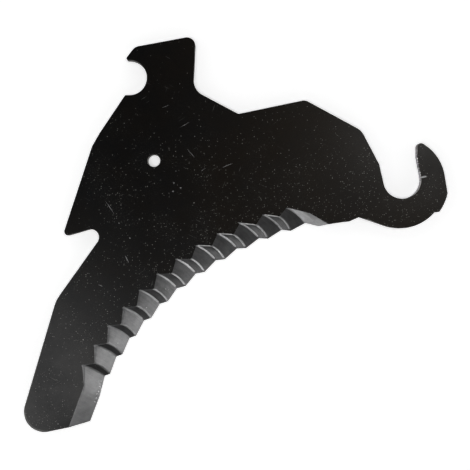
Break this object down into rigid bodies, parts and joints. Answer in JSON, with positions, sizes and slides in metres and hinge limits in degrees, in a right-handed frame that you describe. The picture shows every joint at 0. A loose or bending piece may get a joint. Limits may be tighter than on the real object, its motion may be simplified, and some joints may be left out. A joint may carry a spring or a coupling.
{
  "type": "forage wagon knife",
  "caption": "Flat steel forage wagon knife with a shaft hook, a round roller notch, a tool bore and a hollow cutting edge ground to a fluted, serrated bevel.",
  "frame": {"origin": "centre of the round shaft seat in the hook, on the back face of the plate", "axes": "+Z is the plate's thickness, from the back face to the bevelled face; X runs from the arm to the hook and Y from the cutting edge to the back"},
  "size_m": [0.5095, 0.4746, 0.005],
  "materials": {
    "hardened_steel": "near-black satin face, bare ground bevel"
  },
  "bodies": {
    "root": {"knife_blade": "hardened_steel"}
  },
  "joints": []
}
